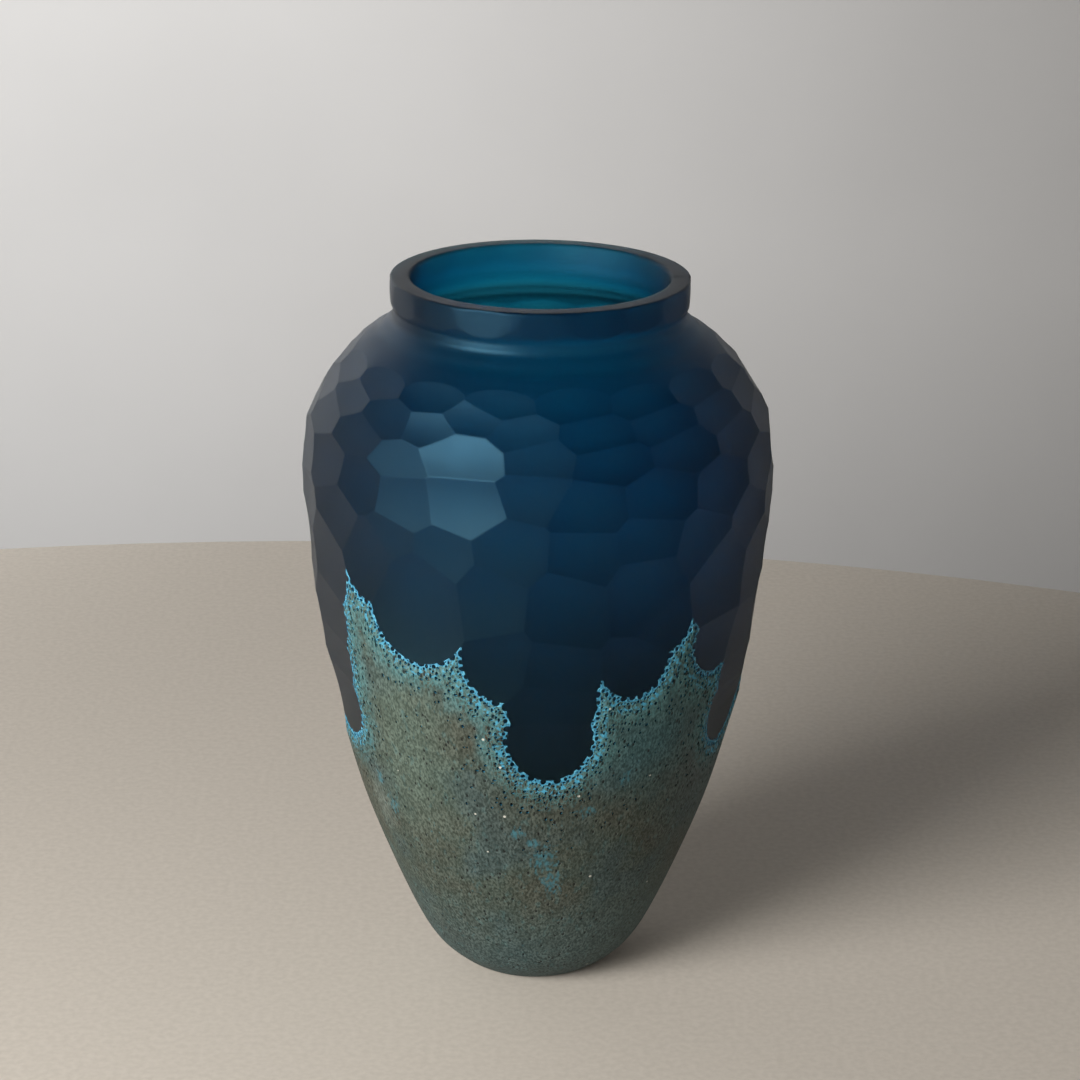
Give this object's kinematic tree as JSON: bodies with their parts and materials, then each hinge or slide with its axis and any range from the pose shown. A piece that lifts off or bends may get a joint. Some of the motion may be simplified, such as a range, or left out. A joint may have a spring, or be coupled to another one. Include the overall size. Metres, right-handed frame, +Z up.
{
  "type": "vase",
  "caption": "Hand blown art glass vase: faceted deep teal glass shoulder and neck over a speckled frit coat with a scalloped turquoise edge, tapering to a small flat foot",
  "frame": {"origin": "centre of the footprint on the underside of the foot, z = 0 on the floor", "axes": "+Z up along the vase's axis, -Y towards the viewer, with the lowest hanging lobe of bare glass at the front"},
  "size_m": [0.1943, 0.1942, 0.3],
  "materials": {
    "teal_glass": "satin, wheel ground and acid finished outside, smoother inside",
    "turquoise_frit": "matte, foamy fused frit",
    "speckled_frit": "matte, mottled and pitted fused frit"
  },
  "bodies": {
    "root": {"glass_body": "teal_glass", "turquoise_layer": "turquoise_frit", "speckled_coat": "speckled_frit"}
  },
  "joints": []
}
